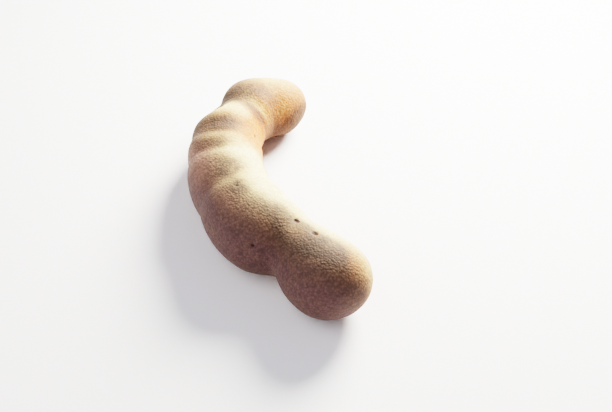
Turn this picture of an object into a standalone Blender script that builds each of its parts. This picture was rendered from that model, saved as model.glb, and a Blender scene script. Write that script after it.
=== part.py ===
"""A whole tamarind pod, unopened, as picked and lying on its side.

The pod grew in one piece, so it is one closed solid. Lengths are in millimetres until the last step,
which turns them into Blender's metres. +Z is up.
The shell is a tube around a level centre line that curls like a hook. It swells over the seeds and is
pinched by a furrow between one seed and the next. A furrow is deepest on the outside of the curl and
nearly runs out on the inside. The origin is at the bottom, in the middle of the pod's outline.
"""
import math

import bmesh
import bpy
import numpy as np

MM = 0.001
POD_LENGTH = 146.0      # along the centre line, from the far tip to the near tip

# The centre line: distance from the far tip, and its heading there in degrees turned from +X
# towards +Y. The heading turns evenly from one row to the next.
BENDS = (
    (0.0, 166.0),
    (15.0, 198.0),
    (29.5, 239.0),
    (48.5, 268.0),
    (59.5, 276.0),
    (79.0, 293.0),
    (112.0, 322.0),
    (146.0, 310.0),
)

# The swellings: distance from the far tip, crest radius, and how far the underside stays clear of the
# surface that the pod lies on. The end swellings and the belly of the curl carry the pod.
SWELLINGS = (
    (10.0, 12.0, 0.0),
    (23.5, 13.7, 0.2),
    (39.0, 13.1, 0.7),
    (54.0, 14.9, 0.3),
    (69.0, 15.3, 0.0),
    (95.5, 16.2, 0.4),
    (129.0, 15.2, 0.0),
)

# The furrows between the seeds: distance from the far tip, depth on the outside of the curl, and half
# width.
FURROWS = (
    (29.5, 2.5, 4.5),
    (48.5, 0.7, 2.2),
    (59.5, 0.8, 5.0),
    (79.0, 0.9, 3.8),
    (112.0, 5.8, 7.4),
)
FURROW_POWER = 1.6      # how steeply a furrow's sides rise
FURROW_INSIDE = 0.15    # a furrow's depth on the inside of the curl, as a share of the outside

HEIGHT_SHARE = 0.96     # the shell's height over its width
TIP_SHARE = 1.05        # the length of each rounded tip over the radius there
REST_CUT = 0.3          # depth of the flats where the shell bears on the surface

AROUND = 28             # sides around the shell
RINGS = 96              # rings from tip to tip
CENTRE_LINE_STEP = 0.25 # spacing of the points that the centre line is worked out at

SHELL_COLOUR = (0.36, 0.24, 0.16, 1.0)
SHELL_ROUGHNESS = 0.85

BEND_STATIONS, BEND_HEADINGS = (np.array(column) for column in zip(*BENDS))
CREST_STATIONS, CREST_RADII, CLEARANCES = (np.array(column) for column in zip(*SWELLINGS))


def clear_scene():
    for item in list(bpy.data.objects):
        bpy.data.objects.remove(item, do_unlink=True)


def ease_between_crests(station, values):
    """Ease a value from the crest of one swelling to the crest of the next."""
    position = np.interp(station, CREST_STATIONS, np.arange(len(CREST_STATIONS)))
    lower = int(min(position, len(CREST_STATIONS) - 2))
    share = position - lower
    eased = share * share * (3 - 2 * share)
    return values[lower] + (values[lower + 1] - values[lower]) * eased


def trace_centre_line():
    """Walk along the centre line, turning with the bends."""
    count = int(round(POD_LENGTH / CENTRE_LINE_STEP)) + 1
    stations = np.linspace(0.0, POD_LENGTH, count)
    headings = np.radians(np.interp(stations, BEND_STATIONS, BEND_HEADINGS))
    middles = (headings[1:] + headings[:-1]) / 2
    steps = np.diff(stations)
    east = np.concatenate([[0.0], np.cumsum(np.cos(middles) * steps)])
    north = np.concatenate([[0.0], np.cumsum(np.sin(middles) * steps)])
    return stations, headings, east, north


def shell_radius(station, around):
    """Distance from the centre line to the shell. An angle of 0 is the outside of the curl."""
    crest = ease_between_crests(station, CREST_RADII)
    radius = crest
    outside_share = FURROW_INSIDE + (1 - FURROW_INSIDE) * (1 + math.cos(around)) / 2
    for middle, depth, half_width in FURROWS:
        distance = abs(station - middle) / half_width
        radius -= depth * outside_share * math.exp(-distance ** FURROW_POWER)
    tip_length = TIP_SHARE * crest
    to_tip = min(station, POD_LENGTH - station)
    if to_tip < tip_length:
        radius *= math.sqrt(max(0.0, 1 - (1 - to_tip / tip_length) ** 2))
    return radius


def shape_shell(bm):
    """Stretch a unit sphere, standing on its poles, along the centre line."""
    stations, headings, east, north = trace_centre_line()
    for vert in bm.verts:
        station = POD_LENGTH * (1 - min(1.0, max(-1.0, vert.co.z))) / 2
        around = math.atan2(vert.co.y, vert.co.x)
        heading = np.interp(station, stations, headings)
        radius = shell_radius(station, around)
        sideways = radius * math.cos(around)
        height = ease_between_crests(station, CREST_RADII) + radius * math.sin(around)
        vert.co.x = np.interp(station, stations, east) + sideways * math.sin(heading)
        vert.co.y = np.interp(station, stations, north) - sideways * math.cos(heading)
        vert.co.z = height * HEIGHT_SHARE + ease_between_crests(station, CLEARANCES)


def cut_rest_flats(bm):
    """Pare the lowest swellings level, so that the pod lies on three flats."""
    everything = bm.verts[:] + bm.edges[:] + bm.faces[:]
    bmesh.ops.bisect_plane(bm, geom=everything, dist=1e-5, plane_co=(0, 0, REST_CUT),
                           plane_no=(0, 0, -1), clear_outer=True)
    rims = [edge for edge in bm.edges if edge.is_boundary]
    bmesh.ops.holes_fill(bm, edges=rims)


def move_to_origin(bm):
    """Put the origin at the bottom, in the middle of the outline, and turn millimetres to metres."""
    places = np.array([vert.co for vert in bm.verts])
    low = places.min(axis=0)
    high = places.max(axis=0)
    origin = ((low[0] + high[0]) / 2, (low[1] + high[1]) / 2, low[2])
    bmesh.ops.translate(bm, verts=bm.verts, vec=[-value for value in origin])
    bmesh.ops.scale(bm, verts=bm.verts, vec=(MM, MM, MM))


def shell_material():
    material = bpy.data.materials.new("brittle_pod_shell")
    material.use_nodes = True
    shader = material.node_tree.nodes["Principled BSDF"]
    shader.inputs["Base Color"].default_value = SHELL_COLOUR
    shader.inputs["Roughness"].default_value = SHELL_ROUGHNESS
    shader.inputs["Metallic"].default_value = 0.0
    return material


def make_pod(collection):
    bm = bmesh.new()
    bmesh.ops.create_uvsphere(bm, u_segments=AROUND, v_segments=RINGS, radius=1.0)
    shape_shell(bm)
    cut_rest_flats(bm)
    move_to_origin(bm)
    mesh = bpy.data.meshes.new("tamarind_pod")
    bm.to_mesh(mesh)
    bm.free()
    mesh.shade_smooth()
    mesh.materials.append(shell_material())
    pod = bpy.data.objects.new("tamarind_pod", mesh)
    collection.objects.link(pod)


clear_scene()
pod_collection = bpy.data.collections.new("tamarind")
bpy.context.scene.collection.children.link(pod_collection)
make_pod(pod_collection)
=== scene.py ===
"""A whole tamarind pod lying on its side on a white table, in soft studio light."""
import math

import bpy
import numpy as np
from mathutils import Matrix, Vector, kdtree


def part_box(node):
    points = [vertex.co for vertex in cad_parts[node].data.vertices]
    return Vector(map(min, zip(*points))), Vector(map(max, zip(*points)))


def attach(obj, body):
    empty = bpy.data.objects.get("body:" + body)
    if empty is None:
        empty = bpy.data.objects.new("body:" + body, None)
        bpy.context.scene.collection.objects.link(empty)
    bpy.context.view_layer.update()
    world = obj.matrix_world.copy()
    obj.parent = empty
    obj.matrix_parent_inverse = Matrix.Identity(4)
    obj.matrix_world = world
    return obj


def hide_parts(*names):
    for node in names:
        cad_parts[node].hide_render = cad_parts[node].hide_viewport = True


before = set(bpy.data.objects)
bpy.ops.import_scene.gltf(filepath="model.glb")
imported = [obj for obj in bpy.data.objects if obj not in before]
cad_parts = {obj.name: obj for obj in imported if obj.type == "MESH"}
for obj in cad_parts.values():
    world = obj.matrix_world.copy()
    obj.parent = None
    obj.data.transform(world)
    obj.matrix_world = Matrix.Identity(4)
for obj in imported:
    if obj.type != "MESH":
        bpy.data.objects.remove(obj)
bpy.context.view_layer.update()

MM = 0.001
BODY = "root"
NODE = "tamarind_pod"

# ---- the pod's measures, in millimetres from its far tip along the centre line ----------------------

POD_LENGTH = 146.0

# distance, and the centre line's heading in degrees turned from +X towards +Y
BENDS = (
    (0.0, 166.0),
    (15.0, 198.0),
    (29.5, 239.0),
    (48.5, 268.0),
    (59.5, 276.0),
    (79.0, 293.0),
    (112.0, 322.0),
    (146.0, 310.0),
)

# distance, crest radius, and how far the underside stays clear of the table
SWELLINGS = (
    (10.0, 12.0, 0.0),
    (23.5, 13.7, 0.2),
    (39.0, 13.1, 0.7),
    (54.0, 14.9, 0.3),
    (69.0, 15.3, 0.0),
    (95.5, 16.2, 0.4),
    (129.0, 15.2, 0.0),
)

# distance, depth on the outside of the curl, and half width
FURROWS = (
    (29.5, 2.5, 4.5),
    (48.5, 0.7, 2.2),
    (59.5, 0.8, 5.0),
    (79.0, 0.9, 3.8),
    (112.0, 5.8, 7.4),
)

FURROW_POWER = 1.6      # a furrow's profile: 2 is a plain bell, less has a sharper bottom
FURROW_INSIDE = 0.15    # a furrow's depth inside the curl, as a share of its depth outside
HEIGHT_SHARE = 0.96     # the section's height as a share of its width
TIP_SHARE = 1.05        # the length of a tip's dome as a share of its crest radius

# ---- how the shell's rings are laid -----------------------------------------------------------------

AROUND = 26             # points in a ring
CENTRE_STEP = 0.25      # between the points that the centre line is traced through
RING_GAP = 3.4          # between rings, away from the furrows
FURROW_CROWDING = 0.8   # extra rings in a furrow, for each half width of it
FIRST_TIP_TURN = 6      # degrees round a tip's dome to its first ring
TIP_TURN_STEP = 12      # degrees between the dome's rings
SPACING_SAMPLES = 500

BEND_AT, BEND_HEADING = (np.array(column) for column in zip(*BENDS))
CREST_AT, CREST_RADIUS, CREST_CLEARANCE = (np.array(column) for column in zip(*SWELLINGS))

# ---- relief finer than the rings; angles in degrees run from the outside of the curl up over the top ----

# creases: place on the outside, the top and the inside; depth on each; reach before and after
CREASES = (
    (30.0, 31.5, 33.8, 1.2, 0.45, 0.4, 4.0, 1.6),
    (48.7, 53.6, 53.6, 0.6, 0.95, 0.05, 6.0, 2.4),
    (58.5, 63.2, 63.2, 0.5, 0.6, 0.05, 3.6, 2.6),
    (78.8, 80.0, 80.0, 0.2, 0.45, 0.05, 7.0, 3.2),
    (112.0, 114.0, 114.0, 0.4, 0.25, 0.1, 4.0, 3.0),
)

# every row below is a soft spot: distance, angle, strength, reach along, reach around in degrees;
# the strength of a bulge or a hollow is in millimetres
BULGES = (
    (5.0, 190.0, 0.8, 5.0, 36.0),
    (23.0, 25.0, 0.7, 7.0, 45.0),
    (32.5, 135.0, 0.8, 5.0, 48.0),
    (40.0, 172.0, 0.5, 6.0, 40.0),
    (42.0, 98.0, 1.9, 6.5, 46.0),
    (44.0, 28.0, 0.4, 5.0, 35.0),
    (57.6, 70.0, 0.3, 3.0, 40.0),
    (67.5, 70.0, 0.25, 3.5, 45.0),
    (84.5, 70.0, 0.2, 4.0, 40.0),
    (100.0, -20.0, 0.35, 9.0, 40.0),
    (140.0, 150.0, 0.5, 8.0, 60.0),
)
HOLLOWS = (
    (20.0, 185.0, 0.7, 6.0, 35.0),
    (22.0, 68.0, 0.8, 6.0, 35.0),
    (35.5, 48.0, 3.3, 4.8, 28.0),
    (53.5, 0.0, 0.4, 3.5, 40.0),
    (76.0, 0.0, 0.4, 13.0, 45.0),
    (96.0, 150.0, 0.7, 7.0, 40.0),
    (115.0, 150.0, 0.4, 7.0, 40.0),
)

# small pits that insects and knocks leave; a pit of strength 1 or more is fully dark, with painted shade
# inside it
PIT_DEPTH = 0.45
PITS = (
    (13.0, 149.6, 0.6, 0.8, 2.4),
    (50.2, 146.6, 0.9, 1.0, 2.4),
    (86.8, 81.0, 0.7, 0.8, 2.4),
    (88.8, 70.8, 0.5, 0.7, 2.2),
    (105.8, 33.3, 0.8, 0.8, 2.6),
    (111.9, 114.2, 1.7, 1.0, 3.4),
    (121.6, 103.0, 1.7, 1.1, 3.2),
)

# lumps all over the shell: name, size and height
BROAD_LUMPS = ("broad_lumps", 12, 0.4)
SMALL_LUMPS = ("small_lumps", 3.5, 0.08)
SCURF_LUMPS = ("scurf", 1.1, 0.04)
LUMP_DETAIL = 2

# ---- where the shell is stained, and where light and shade are painted on it ------------------------

# a strength of 1 or more hides nearly all that lies under it

# scurf that is still whole, along the upper side, and painted light: paler on the lit crests, on the lit
# inside of the curl and where the far lobe casts its shadow
PALE_DUST_AND_PAINTED_LIGHT = (
    (10.0, 150.0, 0.6, 4.0, 20.0),
    (11.0, 84.0, 1.2, 8.0, 31.0),
    (26.0, 124.0, 1.1, 4.0, 28.0),
    (29.0, 138.0, 0.5, 2.5, 20.0),
    (37.5, 88.0, 1.2, 4.5, 35.0),
    (41.0, 102.0, 0.8, 5.0, 24.0),
    (55.6, 85.0, 0.2, 2.5, 28.0),
    (65.3, 85.0, 0.25, 2.5, 28.0),
    (78.0, 130.0, 1.1, 26.0, 32.0),
    (80.0, 114.0, 0.6, 22.0, 23.0),
    (82.5, 78.0, 0.2, 3.0, 25.0),
    (93.0, 110.0, 0.6, 8.0, 20.0),
    (118.0, 139.0, 1.05, 33.0, 29.0),
    (124.0, 117.0, 0.2, 9.0, 15.0),
)

# bare orange-brown rind inside the curl, with painted bounce light: a warm glow as if thrown onto it from
# nearby
ORANGE_TAN_AND_PAINTED_BOUNCE = (
    (3.0, 105.0, 0.7, 10.0, 42.0),
    (24.0, 140.0, 0.55, 5.0, 26.0),
    (33.0, 140.0, 0.5, 3.0, 24.0),
    (43.5, 155.0, 1.6, 10.5, 38.0),
    (56.0, 138.0, 0.7, 6.0, 34.0),
    (77.0, 104.0, 0.25, 6.0, 16.0),
    (112.0, 98.0, 0.2, 10.0, 25.0),
    (137.0, 122.0, 0.3, 8.0, 24.0),
)

# golden rind on the far lobe and low on the inside
AMBER_RIND = (
    (11.0, 140.0, 0.85, 16.0, 62.0),
    (12.0, 5.0, 0.7, 16.0, 42.0),
    (18.0, 105.0, 0.7, 9.0, 28.0),
    (46.0, 102.0, 0.7, 7.0, 26.0),
    (97.0, 200.0, 1.3, 45.0, 34.0),
    (139.0, 112.0, 0.5, 7.0, 22.0),
)

# red brown rind on the outside of the curl, with painted shade: darker on that side, which turns from the
# light
RED_FLANK_AND_PAINTED_SHADE = (
    (60.0, 27.0, 0.5, 2.5, 12.0),
    (68.0, 8.0, 1.1, 10.0, 31.0),
    (73.5, 20.0, 0.8, 4.5, 18.0),
    (82.0, 8.0, 1.2, 12.0, 34.0),
    (101.0, 12.0, 1.0, 20.0, 43.0),
    (132.0, 5.0, 1.0, 22.0, 55.0),
    (145.0, 0.0, 0.6, 6.0, 60.0),
)

# painted light: paler and pinker where the outer side swells out, as if lit by light bounced up from below
PINK_PAINTED_LIGHT = (
    (58.5, 30.0, 0.9, 5.0, 20.0),
    (63.0, 50.0, 0.5, 3.5, 22.0),
    (66.0, 34.0, 0.6, 2.2, 12.0),
    (71.0, 48.0, 1.0, 5.5, 22.0),
    (88.0, 58.0, 0.3, 9.0, 14.0),
)

# dark rind low on the far lobe, with painted shade low on it and in the crease behind it
DEEP_UMBER_AND_PAINTED_SHADE = (
    (3.5, 125.0, 0.35, 4.5, 30.0),
    (4.0, 188.0, 1.4, 6.5, 25.0),
    (13.0, 198.0, 1.3, 12.0, 26.0),
    (17.5, 126.0, 0.6, 5.0, 28.0),
    (32.6, 134.0, 1.0, 3.0, 44.0),
    (36.0, 142.0, 0.5, 2.5, 14.0),
    (48.0, 97.0, 0.3, 5.0, 24.0),
)

# brown patches where the scurf is rubbed off, and painted shade in the hollows between the swellings and
# on slopes turned from the light
DULL_BROWN_AND_PAINTED_SHADE = (
    (21.0, 104.0, 0.7, 6.5, 28.0),
    (27.5, 72.0, 1.2, 5.5, 35.0),
    (31.5, 68.0, 1.1, 3.6, 20.0),
    (44.0, 55.0, 0.2, 5.0, 35.0),
    (49.5, 90.0, 1.2, 5.0, 30.0),
    (61.0, 84.0, 0.7, 3.8, 22.0),
    (75.0, 90.0, 1.2, 5.5, 22.0),
    (81.0, 82.0, 0.3, 6.0, 20.0),
    (88.0, 84.0, 0.9, 5.0, 17.0),
    (97.0, 85.0, 0.5, 6.0, 17.0),
    (108.0, 97.0, 1.1, 10.0, 20.0),
    (114.5, 92.0, 1.6, 4.5, 20.0),
    (120.0, 66.0, 0.4, 6.0, 24.0),
    (126.0, 74.0, 0.4, 7.0, 20.0),
    (130.0, 91.0, 1.3, 12.0, 21.0),
    (132.0, 93.0, 0.4, 5.0, 16.0),
    (146.0, 125.0, 0.15, 4.5, 50.0),
)

# the stains and the painted light and shade, in the order in which they lie over each other: name, colour,
# most cover, and spots
STAINS_AND_PAINTED_LIGHT = (
    ("dust_and_painted_light", "#f5d492", 0.95, PALE_DUST_AND_PAINTED_LIGHT),
    ("tan_and_painted_bounce", "#d26429", 0.95, ORANGE_TAN_AND_PAINTED_BOUNCE),
    ("amber", "#ae683a", 0.9, AMBER_RIND),
    ("flank_and_painted_shade", "#5f4547", 0.8, RED_FLANK_AND_PAINTED_SHADE),
    ("pink_painted_light", "#9a7565", 0.9, PINK_PAINTED_LIGHT),
    ("umber_and_painted_shade", "#50311a", 0.9, DEEP_UMBER_AND_PAINTED_SHADE),
    ("dull_and_painted_shade", "#45362b", 0.85, DULL_BROWN_AND_PAINTED_SHADE),
)

DARK_RIND = "#6d5342"
LIGHT_RIND = "#85684f"
# the pits' colour: a dark rind with painted shade inside the pits
PIT_COLOUR_AND_PAINTED_SHADE = "#35160c"
SCURF_SHEEN = "#ead6c0"

# how wide the material's patterns are, and how far the finest ones rise, in millimetres; real scurf is a
# powder finer than 0.3, too fine to show here, so its grains and specks are drawn coarser
BLOTCH_SIZE = 14
PATCH_SIZE = 5
GRAIN_SIZE = 0.85
SPECK_SIZE = 0.5
GRAIN_RISE = 0.16
SPECK_RISE = 0.12
RAGGEDNESS = 1.5        # how much the patches thin and thicken a stain

# ---- camera -----------------------------------------------------------------------------------------

VIEW_TARGET = (11.05 * MM, -10.1 * MM, 14.0 * MM)
VIEW_DISTANCE = 450 * MM
VIEW_ELEVATION = 45.0
LENS = 71.5
SENSOR_WIDTH = 36.0


# ---- the shell's shape ------------------------------------------------------------------------------

def ease_between_crests(station, values):
    """Run smoothly from one crest's value to the next."""
    position = np.interp(station, CREST_AT, np.arange(len(CREST_AT)))
    lower = np.minimum(position.astype(int), len(CREST_AT) - 2)
    share = position - lower
    eased = share * share * (3 - 2 * share)
    return values[lower] + (values[lower + 1] - values[lower]) * eased


def trace_centre_line():
    """Distance, heading and place of close points on the centre line, which lies level."""
    stations = np.linspace(0.0, POD_LENGTH, int(round(POD_LENGTH / CENTRE_STEP)) + 1)
    headings = np.radians(np.interp(stations, BEND_AT, BEND_HEADING))
    middles = (headings[1:] + headings[:-1]) / 2
    steps = np.diff(stations)
    east = np.concatenate([[0.0], np.cumsum(np.cos(middles) * steps)])
    north = np.concatenate([[0.0], np.cumsum(np.sin(middles) * steps)])
    return stations, headings, east, north


def ring_stations():
    """Close rings at the tips and furrows, wider ones between."""
    turns = np.radians(np.arange(FIRST_TIP_TURN, 90 + 1, TIP_TURN_STEP))
    first = TIP_SHARE * CREST_RADIUS[0] * (1 - np.cos(turns))
    last = POD_LENGTH - TIP_SHARE * CREST_RADIUS[-1] * (1 - np.cos(turns[::-1]))
    inner = np.linspace(first[-1], last[0], SPACING_SAMPLES)
    density = np.full(len(inner), 1.0 / RING_GAP)
    for middle, depth, half_width in FURROWS:
        density += FURROW_CROWDING / half_width * np.exp(-((inner - middle) / half_width) ** 2)
    passed = np.cumsum((density[1:] + density[:-1]) / 2 * np.diff(inner))
    passed = np.concatenate([[0.0], passed])
    count = int(passed[-1]) + 1
    between = np.interp(np.linspace(0, passed[-1], count + 1), passed, inner)
    return np.concatenate([first, between[1:-1], last])


def rings():
    """Centre, radius and heading of each ring of the shell."""
    at = ring_stations()
    stations, headings, east, north = trace_centre_line()
    heading = np.interp(at, stations, headings)
    crest = ease_between_crests(at, CREST_RADIUS)
    depth = sum(deep * np.exp(-np.abs((at - middle) / half) ** FURROW_POWER)
                for middle, deep, half in FURROWS)
    to_tip = np.minimum(at, POD_LENGTH - at) / (TIP_SHARE * crest)
    rounding = np.sqrt(1 - (1 - np.minimum(to_tip, 1.0)) ** 2)
    radius = (crest - depth * (1 + FURROW_INSIDE) / 2) * rounding
    shift = -depth * (1 - FURROW_INSIDE) / 2 * rounding
    x = np.interp(at, stations, east) + shift * np.sin(heading)
    y = np.interp(at, stations, north) - shift * np.cos(heading)
    z = crest * HEIGHT_SHARE + ease_between_crests(at, CREST_CLEARANCE)
    return np.column_stack([x, y, z]) * MM, radius * MM, heading


def draw_out_shell():
    """Extrude a circle from the far tip to the near tip, turning and sizing each new ring."""
    centres, radii, headings = rings()
    # subdivision pulls a ring in, so it starts this much wider
    fullness = 6 / (4 + 2 * math.cos(2 * math.pi / AROUND))
    bpy.ops.mesh.primitive_circle_add(vertices=AROUND, radius=radii[0] * fullness, fill_type="NGON",
                                      location=centres[0],
                                      rotation=(math.pi / 2, 0, headings[0] - math.pi / 2))
    bpy.ops.object.transform_apply(location=True, rotation=True, scale=True)
    bpy.ops.object.mode_set(mode="EDIT")
    bpy.ops.mesh.select_mode(type="FACE")
    bpy.ops.mesh.select_all(action="SELECT")
    bpy.ops.transform.resize(value=(1, 1, HEIGHT_SHARE), center_override=centres[0])
    for i in range(1, len(radii)):
        step = centres[i] - centres[i - 1]
        growth = radii[i] / radii[i - 1]
        turn = headings[i] - headings[i - 1]
        bpy.ops.mesh.extrude_region_move(TRANSFORM_OT_translate={"value": tuple(step)})
        bpy.ops.transform.rotate(value=-turn, orient_axis="Z", center_override=centres[i])
        bpy.ops.transform.resize(value=(growth, growth, growth), center_override=centres[i])
    bpy.ops.mesh.select_all(action="SELECT")
    bpy.ops.mesh.normals_make_consistent(inside=False)
    bpy.ops.object.mode_set(mode="OBJECT")
    return bpy.context.object


def apply_modifier(piece, kind, **settings):
    modifier = piece.modifiers.new(kind.lower(), kind)
    for name, value in settings.items():
        setattr(modifier, name, value)
    bpy.context.view_layer.objects.active = piece
    bpy.ops.object.modifier_apply(modifier=modifier.name)


def places_on(skin):
    """Distance along the centre line, angle around it, and share of the full girth, of every point."""
    stations, headings, east, north = trace_centre_line()
    points = np.empty(len(skin.data.vertices) * 3)
    skin.data.vertices.foreach_get("co", points)
    x, y, z = points.reshape(-1, 3).T / MM
    tree = kdtree.KDTree(len(stations))
    for i in range(len(stations)):
        tree.insert((east[i], north[i], 0.0), i)
    tree.balance()
    nearest = np.array([tree.find((px, py, 0.0))[1] for px, py in zip(x, y)])
    along = stations[nearest]
    heading = headings[nearest]
    outward = (x - east[nearest]) * np.sin(heading) - (y - north[nearest]) * np.cos(heading)
    crest = ease_between_crests(along, CREST_RADIUS)
    upward = z - crest * HEIGHT_SHARE
    girth = np.minimum(np.hypot(upward, outward) / crest, 1.0)
    return along, np.arctan2(upward, outward), girth


def crease_depth(places):
    """Sum of the creases, each slanting from its place outside, over the top, to its place inside."""
    along, around = places[:2]
    outside = np.maximum(np.cos(around), 0.0) ** 2
    inside = np.maximum(-np.cos(around), 0.0) ** 2
    upper = np.sin(around) ** 2
    depth = np.zeros(len(along))
    for out_at, top_at, in_at, out_deep, top_deep, in_deep, before, after in CREASES:
        offset = along - (out_at * outside + top_at * upper + in_at * inside)
        reach = np.where(offset < 0, before, after)
        deep = out_deep * outside + top_deep * upper + in_deep * inside
        depth += deep * np.exp(-np.abs(offset / reach) ** FURROW_POWER)
    return depth


def soft_spots(places, rows):
    """Sum of soft round spots; an angle counts for less where the pod narrows, so the tips stay even."""
    along, around, girth = places
    total = np.zeros(len(along))
    for at, angle, strength, reach, spread in rows:
        arc = (around - math.radians(angle) + math.pi) % (2 * math.pi) - math.pi
        across = arc * girth / math.radians(spread)
        total += strength * np.exp(-((along - at) / reach) ** 2 - across ** 2)
    return total


def raise_by(skin, name, height):
    """Push the skin out, or in where the height is negative, by an amount given point by point."""
    most = np.abs(height).max()
    least = 0.004 * most
    group = skin.vertex_groups.new(name=name)
    for i in np.nonzero(np.abs(height) > least)[0]:
        group.add([int(i)], float(abs(height[i]) / most), "REPLACE")
    sign = 1 if height.sum() > 0 else -1
    apply_modifier(skin, "DISPLACE", vertex_group=name, strength=sign * most * MM, mid_level=0.0)
    skin.vertex_groups.clear()


def roughen(skin, name, size, height):
    """Cover the skin with uneven lumps of about one size."""
    texture = bpy.data.textures.new(name, "CLOUDS")
    texture.noise_scale = size * MM
    texture.noise_depth = LUMP_DETAIL
    apply_modifier(skin, "DISPLACE", texture=texture, texture_coords="LOCAL",
                   strength=height * MM, mid_level=0.5)


def keep_fields(skin, places):
    """Store how strongly each point is stained, painted with light or shade, or pitted, for the material
    to read.
    """
    fields = {name: rows for name, code, cover, rows in STAINS_AND_PAINTED_LIGHT}
    fields["pits"] = PITS
    for name, rows in fields.items():
        values = np.minimum(soft_spots(places, rows), 1.0).astype(np.float32)
        skin.data.attributes.new(name, "FLOAT", "POINT").data.foreach_set("value", values)


def set_down(skin):
    """Centre the skin on the pod's place and rest it on the table."""
    corners = np.array([tuple(corner) for corner in skin.bound_box])
    shift = np.mean(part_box(NODE), axis=0) - (corners.min(axis=0) + corners.max(axis=0)) / 2
    shift[2] = -corners[:, 2].min()
    skin.location = shift
    skin.select_set(True)
    bpy.ops.object.transform_apply(location=True, rotation=False, scale=False)


def make_skin():
    for item in bpy.context.selected_objects:
        item.select_set(False)
    skin = draw_out_shell()
    skin.name = "pod_skin"
    apply_modifier(skin, "SUBSURF", levels=2, render_levels=2)
    places = places_on(skin)
    raise_by(skin, "creases", -crease_depth(places))
    raise_by(skin, "bulges", soft_spots(places, BULGES))
    raise_by(skin, "hollows", -soft_spots(places, HOLLOWS))
    roughen(skin, *BROAD_LUMPS)
    roughen(skin, *SMALL_LUMPS)
    apply_modifier(skin, "SUBSURF", levels=1, render_levels=1)
    places = places_on(skin)
    raise_by(skin, "pits", -PIT_DEPTH * soft_spots(places, PITS))
    keep_fields(skin, places)
    roughen(skin, *SCURF_LUMPS)
    set_down(skin)
    bpy.ops.object.shade_smooth()
    return skin


# ---- materials --------------------------------------------------------------------------------------

def srgb(code):
    """The linear colour of an sRGB hex value."""
    values = [int(code[i:i + 2], 16) / 255 for i in (1, 3, 5)]
    linear = [v / 12.92 if v <= 0.04045 else ((v + 0.055) / 1.055) ** 2.4 for v in values]
    return (*linear, 1.0)


def per_metre(size):
    """The scale that gives a pattern this many millimetres wide."""
    return 1000 / size


def add_node(material, kind, inputs=(), **settings):
    made = material.node_tree.nodes.new(kind)
    for name, value in settings.items():
        setattr(made, name, value)
    for socket, value in dict(inputs).items():
        if isinstance(value, bpy.types.NodeSocket):
            material.node_tree.links.new(value, made.inputs[socket])
        else:
            made.inputs[socket].default_value = value
    return made


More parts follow.
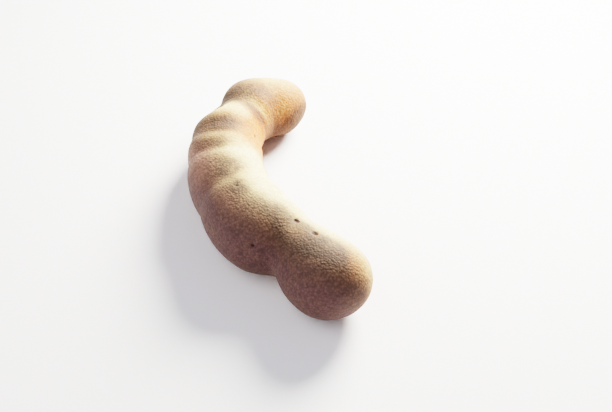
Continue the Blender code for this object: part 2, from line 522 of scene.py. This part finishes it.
def shell_material():
    """Dry tamarind shell: a brittle brown rind under a fine pale scurf.

    It gives the eye a matt, velvety skin with no glossy highlight: two browns in soft blotches, ragged
    stains over them with painted light and shade among them, grains that each have their own tone with a
    darker mesh of painted shade between them, and dark pits with painted shade in them.
    """
    m = bpy.data.materials.new("scurfy_tamarind_shell")
    m.use_nodes = True
    shader = m.node_tree.nodes["Principled BSDF"]
    place = add_node(m, "ShaderNodeTexCoord").outputs["Object"]
    blotch = add_node(m, "ShaderNodeTexNoise", {
        "Vector": place, "Scale": per_metre(BLOTCH_SIZE), "Detail": 4.0, "Roughness": 0.6})
    patch = add_node(m, "ShaderNodeTexNoise", {
        "Vector": place, "Scale": per_metre(PATCH_SIZE), "Detail": 5.0, "Roughness": 0.65})
    grain = add_node(m, "ShaderNodeTexVoronoi", {
        "Vector": place, "Scale": per_metre(GRAIN_SIZE)}, feature="F1")
    speck = add_node(m, "ShaderNodeTexNoise", {
        "Vector": place, "Scale": per_metre(SPECK_SIZE), "Detail": 3.0, "Roughness": 0.6})

    # the bare rind, in blotches of two browns
    colour = add_node(m, "ShaderNodeMix", {
        "Factor": blotch.outputs["Fac"], "A": srgb(DARK_RIND), "B": srgb(LIGHT_RIND)},
        data_type="RGBA")

    # the stains and the painted light and shade, thinned and thickened by the patch noise, so their edges
    # stay ragged
    spread = add_node(m, "ShaderNodeMath", {0: patch.outputs["Fac"], 1: 0.5}, operation="SUBTRACT")
    ragged = add_node(m, "ShaderNodeMath", {0: spread.outputs[0], 1: RAGGEDNESS, 2: 1.0},
                      operation="MULTIPLY_ADD")
    for name, code, cover, rows in STAINS_AND_PAINTED_LIGHT:
        field = add_node(m, "ShaderNodeAttribute", attribute_name=name)
        share = add_node(m, "ShaderNodeMath", {0: ragged.outputs[0], 1: field.outputs["Fac"]},
                         operation="MULTIPLY", use_clamp=True)
        amount = add_node(m, "ShaderNodeMath", {0: share.outputs[0], 1: cover}, operation="MULTIPLY")
        colour = add_node(m, "ShaderNodeMix", {
            "Factor": amount.outputs[0], "A": colour.outputs[2], "B": srgb(code)},
            data_type="RGBA")

    # grains of scurf, each its own tone, with a darker mesh between them: partly the rind's colour, partly
    # painted shade in the crevices
    each = add_node(m, "ShaderNodeSeparateColor", {"Color": grain.outputs["Color"]})
    tone = add_node(m, "ShaderNodeMapRange", {
        "Value": each.outputs[0], "To Min": 0.84, "To Max": 1.16})
    net_and_painted_shade = add_node(m, "ShaderNodeMapRange", {
        "Value": grain.outputs["Distance"], "From Min": 0.25, "From Max": 0.75,
        "To Min": 1.08, "To Max": 0.8})
    for shading in (tone, net_and_painted_shade):
        colour = add_node(m, "ShaderNodeMix", {
            "Factor": 1.0, "A": colour.outputs[2], "B": shading.outputs[0]},
            data_type="RGBA", blend_type="MULTIPLY")

    # dark, crisp pits: a dark rind with painted shade in each pit
    pit = add_node(m, "ShaderNodeAttribute", attribute_name="pits")
    hole = add_node(m, "ShaderNodeMapRange", {
        "Value": pit.outputs["Fac"], "From Min": 0.3, "From Max": 0.75},
        interpolation_type="SMOOTHSTEP")
    colour = add_node(m, "ShaderNodeMix", {
        "Factor": hole.outputs[0], "A": colour.outputs[2], "B": srgb(PIT_COLOUR_AND_PAINTED_SHADE)},
        data_type="RGBA")
    m.node_tree.links.new(colour.outputs[2], shader.inputs["Base Color"])

    # each grain stands a little proud of the net, and specks of powder lie over all
    grain_bump = add_node(m, "ShaderNodeBump", {
        "Height": grain.outputs["Distance"], "Strength": 1.0, "Distance": GRAIN_RISE * MM},
        invert=True)
    speck_bump = add_node(m, "ShaderNodeBump", {
        "Height": speck.outputs["Fac"], "Strength": 0.6, "Distance": SPECK_RISE * MM,
        "Normal": grain_bump.outputs["Normal"]})
    m.node_tree.links.new(speck_bump.outputs["Normal"], shader.inputs["Normal"])
    shader.inputs["Roughness"].default_value = 0.75
    shader.inputs["Sheen Weight"].default_value = 0.08
    shader.inputs["Sheen Roughness"].default_value = 0.5
    shader.inputs["Sheen Tint"].default_value = srgb(SCURF_SHEEN)
    return m


def paper_material():
    """Matt white paper: a pale, even ground that takes a soft shadow and gives no highlight."""
    m = bpy.data.materials.new("white_paper")
    m.use_nodes = True
    shader = m.node_tree.nodes["Principled BSDF"]
    shader.inputs["Base Color"].default_value = srgb("#fbfafa")
    shader.inputs["Roughness"].default_value = 0.9
    return m


# ---- table, lights and camera -----------------------------------------------------------------------

def make_table():
    bpy.ops.mesh.primitive_plane_add(size=6.0, location=(0, 0, 0))
    table = bpy.context.object
    table.name = "table"
    table.data.materials.append(paper_material())


def add_light(name, azimuth, elevation, distance, power, size, colour):
    """A round soft light that looks at the middle of the table."""
    turn = math.radians(azimuth)
    rise = math.radians(elevation)
    level = math.cos(rise)
    place = Vector((math.cos(turn) * level, math.sin(turn) * level, math.sin(rise))) * distance
    data = bpy.data.lights.new(name, "AREA")
    data.energy = power
    data.color = srgb(colour)[:3]
    data.shape = "DISK"
    data.size = size
    lamp = bpy.data.objects.new(name, data)
    lamp.location = place
    lamp.rotation_euler = (-place).to_track_quat("-Z", "Y").to_euler()
    bpy.context.scene.collection.objects.link(lamp)


def make_lights():
    """A small warm key from behind the curl, a wide cool fill opposite it, and a faint cool room."""
    add_light("key", azimuth=56, elevation=36, distance=0.3, power=4.7, size=0.18, colour="#fffaf0")
    add_light("fill", azimuth=215, elevation=50, distance=1.2, power=8.2, size=1.4, colour="#fdfcff")
    world = bpy.data.worlds.new("studio")
    world.use_nodes = True
    background = world.node_tree.nodes["Background"]
    background.inputs["Color"].default_value = (0.95, 0.95, 1.1, 1)
    background.inputs["Strength"].default_value = 0.25
    bpy.context.scene.world = world


def make_camera():
    data = bpy.data.cameras.new("camera")
    data.lens = LENS
    data.sensor_width = SENSOR_WIDTH
    camera = bpy.data.objects.new("camera", data)
    tilt = math.radians(VIEW_ELEVATION)
    away = Vector((0, -math.cos(tilt), math.sin(tilt)))
    camera.location = Vector(VIEW_TARGET) + away * VIEW_DISTANCE
    camera.rotation_euler = (math.pi / 2 - tilt, 0, 0)
    bpy.context.scene.collection.objects.link(camera)
    bpy.context.scene.camera = camera
    view = bpy.context.scene.view_settings
    view.view_transform = "Filmic"
    view.look = "Very High Contrast"
    view.exposure = 0.0


make_camera()
skin = make_skin()
skin.data.materials.clear()
skin.data.materials.append(shell_material())
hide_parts(NODE)
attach(skin, BODY)
make_table()
make_lights()
